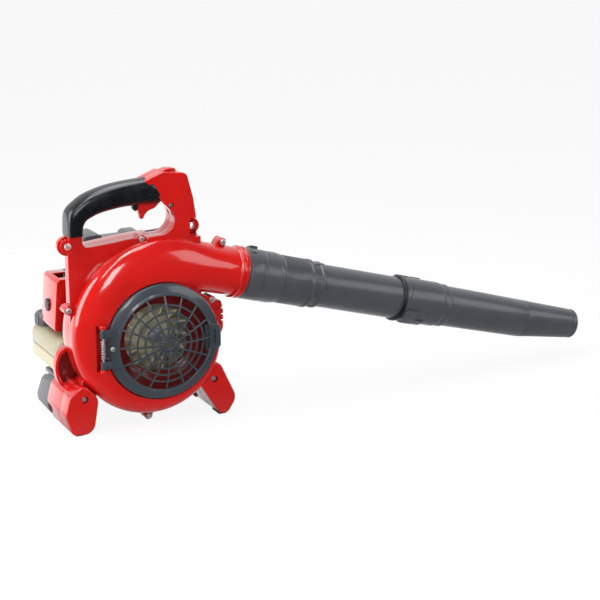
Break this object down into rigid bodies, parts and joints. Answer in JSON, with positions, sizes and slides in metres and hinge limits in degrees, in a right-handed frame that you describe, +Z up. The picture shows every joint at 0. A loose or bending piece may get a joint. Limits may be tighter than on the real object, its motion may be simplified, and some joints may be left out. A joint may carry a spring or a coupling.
{
  "type": "handheld leaf blower",
  "caption": "Handheld petrol leaf blower: spiral fan case with hinged intake guard, grip and trigger on top, small engine behind, swivel tube with a tapering nozzle.",
  "frame": {"origin": "on the ground under the middle of the bounding box", "axes": "+X towards the nozzle, +Y back from the intake guard to the engine, +Z up"},
  "size_m": [0.8396, 0.229, 0.3483],
  "materials": {
    "red_plastic": "glossy moulded red",
    "grey_plastic": "satin moulded grey",
    "black_plastic": "satin moulded black",
    "black_rubber": "soft black rubber",
    "cream_plastic": "translucent cream",
    "rope": "braided cord",
    "filter_felt": "dark felt",
    "black_sheet": "heat-proof black paint",
    "muffler_steel": "heat-tinted sheet steel",
    "alloy": "cast, lightly blasted",
    "steel": "zinc plated"
  },
  "bodies": {
    "machine": {"fan_case_front": "red_plastic", "fan_case_rear": "red_plastic", "handle_grip": "black_rubber", "trigger_pin": "steel", "trigger_spring": "steel", "throttle_cable": "black_rubber", "guard_hinge_pin": "steel", "guard_hinge_spring": "steel", "crank_bearings": "steel", "crankcase_front": "alloy", "crankcase_rear": "alloy", "cylinder_block": "alloy", "spark_plug": "steel", "plug_cap": "black_rubber", "ignition_coil": "black_plastic", "ignition_lead": "black_rubber", "starter_housing": "grey_plastic", "recoil_spring": "steel", "engine_cover": "grey_plastic", "muffler": "muffler_steel", "muffler_cover": "black_sheet", "intake_insulator": "black_plastic", "carburettor": "alloy", "air_cleaner_base": "black_plastic", "air_filter": "filter_felt", "fuel_tank": "cream_plastic", "fuel_lines": "black_rubber", "rear_stand": "grey_plastic", "case_screws": "steel", "foot_screws": "steel", "engine_screws": "steel", "starter_screws": "steel"},
    "trigger": {"throttle_trigger": "red_plastic"},
    "throttle": {"throttle_arm": "steel"},
    "switch": {"stop_switch": "red_plastic"},
    "guard": {"intake_guard": "grey_plastic", "guard_hinge_screw": "steel"},
    "crank": {"crankshaft": "steel", "fan_wheel": "cream_plastic", "fan_nut": "steel", "flywheel": "alloy", "starter_ratchet": "steel"},
    "piston_set": {"piston": "alloy", "connecting_rod": "steel", "wrist_pin": "steel", "crank_pin": "steel"},
    "starter_grip": {"starter_handle": "black_plastic", "starter_rope": "rope"},
    "starter_reel": {"starter_pulley": "black_plastic", "wound_rope": "rope"},
    "primer": {"primer_bulb": "black_rubber"},
    "choke": {"choke_lever": "black_plastic"},
    "fuel_lid": {"fuel_cap": "grey_plastic"},
    "air_cover": {"air_cleaner_cover": "red_plastic"},
    "air_cover_knob": {"cover_bolt": "black_plastic"},
    "collar": {"outlet_collar": "grey_plastic"},
    "tube": {"main_tube": "grey_plastic", "coupling_seal": "black_rubber"},
    "nozzle_tube": {"nozzle": "grey_plastic"}
  },
  "joints": [
    {"name": "trigger_pull", "type": "hinge", "parent": "machine", "child": "trigger", "pos_m": [-0.28582, -0.0535, 0.3123], "axis": [0, 1, 0], "range_deg": [0, 18], "stiffness_Nm_per_rad": 0.3, "springref_deg": -8.59},
    {"name": "throttle_turn", "type": "hinge", "parent": "machine", "child": "throttle", "pos_m": [-0.34582, 0.0235, 0.1953], "axis": [0, 0, 1], "range_deg": [0, 45]},
    {"name": "switch_rock", "type": "hinge", "parent": "machine", "child": "switch", "pos_m": [-0.25382, -0.0535, 0.3373], "axis": [0, 1, 0], "range_deg": [0, 8]},
    {"name": "guard_open", "type": "hinge", "parent": "machine", "child": "guard", "pos_m": [-0.36982, -0.0945, 0.1193], "axis": [0, 0, -1], "range_deg": [0, 110], "stiffness_Nm_per_rad": 0.05, "springref_deg": -20.05},
    {"name": "crank_turn", "type": "hinge", "parent": "machine", "child": "crank", "pos_m": [-0.28382, 0.0235, 0.1193], "axis": [0, 1, 0], "continuous": true},
    {"name": "piston_slide", "type": "slide", "parent": "machine", "child": "piston_set", "axis": [0, 0, -1], "range_m": [0, 0.028]},
    {"name": "starter_pull", "type": "slide", "parent": "machine", "child": "starter_grip", "axis": [0, 0, 1], "range_m": [0, 0.6], "stiffness_N_per_m": 10, "springref_m": -0.4},
    {"name": "reel_turn", "type": "hinge", "parent": "machine", "child": "starter_reel", "pos_m": [-0.28382, 0.088, 0.1193], "axis": [0, -1, 0], "range_deg": [0, 1377]},
    {"name": "primer_press", "type": "slide", "parent": "machine", "child": "primer", "axis": [0, 1, 0], "range_m": [0, 0.004], "stiffness_N_per_m": 500, "springref_m": -0.002},
    {"name": "choke_turn", "type": "hinge", "parent": "machine", "child": "choke", "pos_m": [-0.37482, 0.0405, 0.1843], "axis": [0, 0, -1], "range_deg": [0, 50]},
    {"name": "fuel_cap_turn", "type": "hinge", "parent": "machine", "child": "fuel_lid", "pos_m": [-0.38482, 0.0945, 0.1193], "axis": [0, 0, 1], "range_deg": [0, 540]},
    {"name": "air_cover_off", "type": "slide", "parent": "machine", "child": "air_cover", "axis": [-1, 0, 0], "range_m": [0, 0.06]},
    {"name": "knob_turn", "type": "hinge", "parent": "air_cover", "child": "air_cover_knob", "pos_m": [-0.39782, 0.0465, 0.1513], "axis": [1, 0, 0], "range_deg": [0, 1080]},
    {"name": "collar_turn", "type": "hinge", "parent": "machine", "child": "collar", "pos_m": [-0.15499, -0.0535, 0.19267], "axis": [0.9673, 0, -0.2538], "range_deg": [0, 20]},
    {"name": "tube_turn", "type": "hinge", "parent": "collar", "child": "tube", "pos_m": [-0.09695, -0.0535, 0.17744], "axis": [0.9673, 0, -0.2538], "range_deg": [-20, 20]},
    {"name": "nozzle_turn", "type": "hinge", "parent": "tube", "child": "nozzle_tube", "pos_m": [0.09844, -0.0535, 0.12618], "axis": [0.9673, 0, -0.2538], "range_deg": [0, 20]}
  ],
  "couplings": [
    {"joint": "throttle_turn", "follows": "trigger_pull", "ratio": 2.5},
    {"joint": "reel_turn", "follows": "starter_pull", "rad_per_m": 40}
  ]
}
